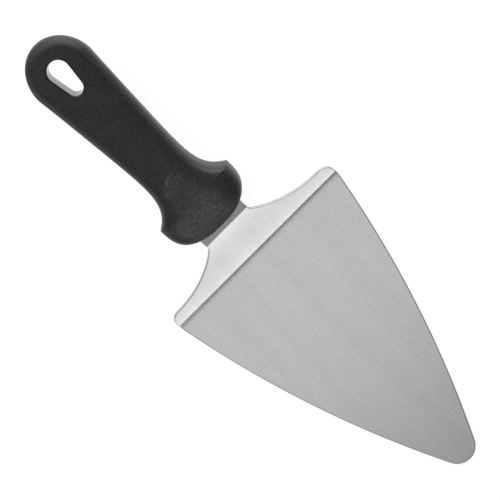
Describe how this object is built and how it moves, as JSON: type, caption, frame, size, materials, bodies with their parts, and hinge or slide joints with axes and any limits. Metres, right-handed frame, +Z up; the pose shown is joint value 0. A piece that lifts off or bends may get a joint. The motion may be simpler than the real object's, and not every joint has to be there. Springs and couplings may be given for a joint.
{
  "type": "pizza server",
  "caption": "Pizza server: flat wedge blade of sheet steel, bent up at the heel to a short neck, in a moulded plastic handle with a flared guard and a teardrop hanging hole.",
  "frame": {"origin": "on the blade's flat underside, at the middle of the line where the heel bend begins", "axes": "+X from the heel to the tip, +Y across the blade, +Z up from the surface that the blade lies on"},
  "size_m": [0.3028, 0.1134, 0.0392],
  "materials": {
    "blade_steel": "stainless steel, brushed along the blade",
    "handle_plastic": "black polypropylene with a fine matte mould texture"
  },
  "bodies": {
    "root": {"blade": "blade_steel", "handle": "handle_plastic"}
  },
  "joints": []
}
